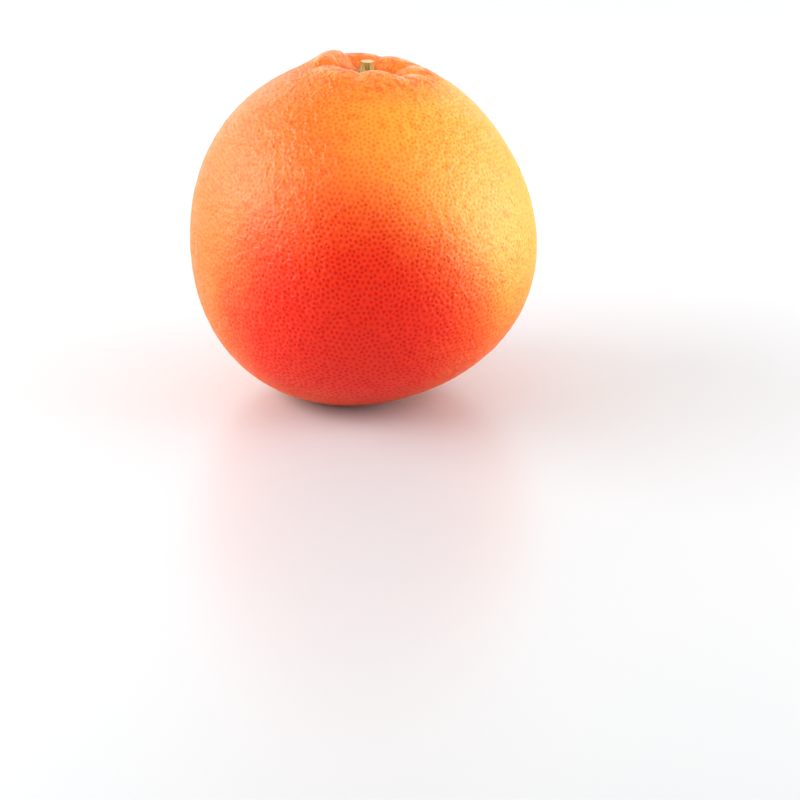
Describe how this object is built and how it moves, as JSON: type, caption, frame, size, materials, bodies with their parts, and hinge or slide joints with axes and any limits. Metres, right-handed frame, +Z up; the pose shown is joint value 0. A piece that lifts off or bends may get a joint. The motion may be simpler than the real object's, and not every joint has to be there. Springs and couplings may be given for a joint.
{
  "type": "grapefruit",
  "caption": "Whole ripe grapefruit with a creased hollow stem end and a short clipped stalk, standing on a small flat spot at its blossom end.",
  "frame": {"origin": "on the surface that the fruit stands on, under the middle of its bounding box", "axes": "+Z up through the stem end, -Y towards the viewer of the reference picture, +X to that picture's right"},
  "size_m": [0.112, 0.1118, 0.1115],
  "materials": {
    "rind": "waxy, pitted citrus peel, yellow to red",
    "stem_bark": "dry green-brown bark with a pale cut end"
  },
  "bodies": {
    "root": {"fruit": "rind", "stem": "stem_bark"}
  },
  "joints": []
}
